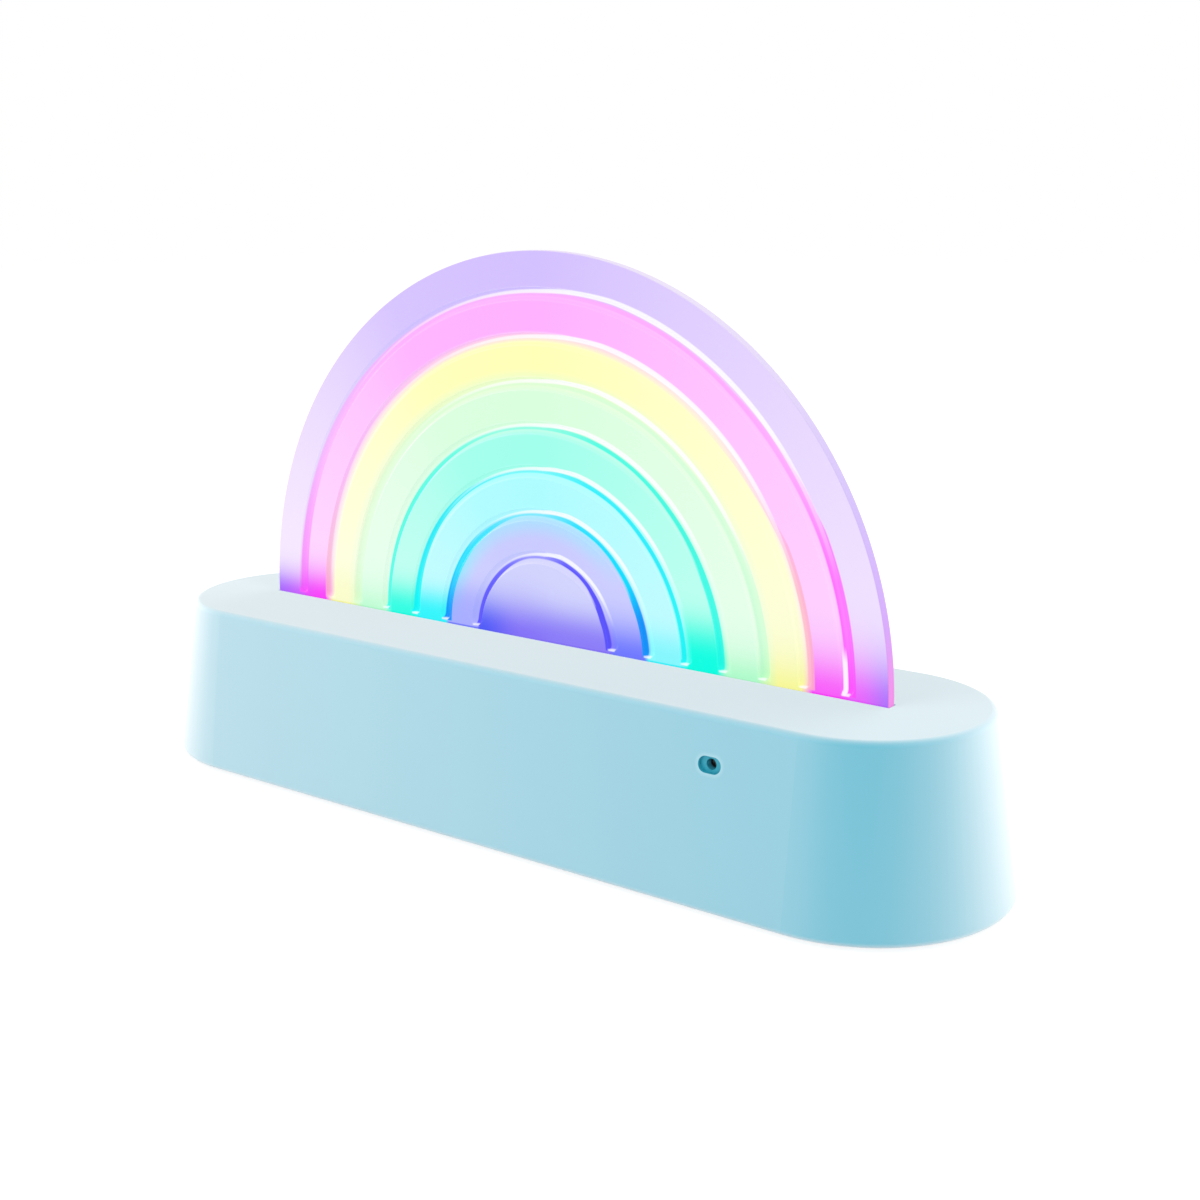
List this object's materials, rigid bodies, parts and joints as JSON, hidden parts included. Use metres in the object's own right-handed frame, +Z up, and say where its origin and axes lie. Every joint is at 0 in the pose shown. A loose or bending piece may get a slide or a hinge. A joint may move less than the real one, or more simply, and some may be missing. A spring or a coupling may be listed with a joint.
{
  "type": "rainbow lamp",
  "caption": "Table lamp: a grooved half-disc light plate, lit from its edge in rainbow bands, standing in the slot of a long round-ended base.",
  "frame": {"origin": "on the surface that the feet stand on, under the middle of the base", "axes": "+X along the base towards the end with the microphone port, -Y out of the front, +Z up"},
  "size_m": [0.232, 0.064, 0.1303],
  "materials": {
    "pale_blue_plastic": "satin",
    "rainbow_acrylic": "satin",
    "white_plastic": "satin",
    "button_plastic": "satin",
    "strip_white": "satin",
    "led_case": "gloss",
    "screw_steel": "satin",
    "socket_steel": "satin",
    "can_aluminium": "satin",
    "foot_rubber": "matte",
    "boot_rubber": "matte",
    "board_green": "satin",
    "chip_black": "satin",
    "coil_ferrite": "matte",
    "connector_nylon": "satin",
    "plunger_nylon": "satin",
    "clear_pipe": "gloss",
    "cell_wrap": "satin",
    "lead_jacket": "satin",
    "red_jacket": "satin",
    "black_jacket": "satin"
  },
  "bodies": {
    "lamp": {"base_housing": "pale_blue_plastic", "bottom_cover": "pale_blue_plastic", "cover_screws": "screw_steel", "rubber_feet": "foot_rubber", "rainbow_plate": "rainbow_acrylic", "plate_screws": "screw_steel", "plate_cradle": "white_plastic", "cradle_screws": "screw_steel", "led_board": "strip_white", "rgb_leds": "led_case", "led_board_screws": "screw_steel", "led_socket": "connector_nylon", "led_lead": "lead_jacket", "main_board": "board_green", "board_screws": "screw_steel", "control_chip": "chip_black", "charger_chip": "chip_black", "power_coil": "coil_ferrite", "board_capacitors": "can_aluminium", "led_header": "connector_nylon", "battery_header": "connector_nylon", "microphone_header": "connector_nylon", "usb_socket": "socket_steel", "usb_tongue": "chip_black", "tact_switch": "chip_black", "charge_led": "led_case", "charge_light_pipe": "clear_pipe", "battery_cell": "cell_wrap", "battery_strap": "white_plastic", "strap_screws": "screw_steel", "battery_plug": "connector_nylon", "battery_lead": "red_jacket", "microphone_boot": "boot_rubber", "microphone_capsule": "can_aluminium", "microphone_lead": "black_jacket"},
    "button": {"switch_plunger": "plunger_nylon", "mode_button": "button_plastic"}
  },
  "joints": [
    {"name": "mode_button_press", "type": "slide", "parent": "lamp", "child": "button", "axis": [0, -1, 0], "range_m": [0, 0.0004], "stiffness_N_per_m": 2500, "springref_m": -0.0001}
  ]
}
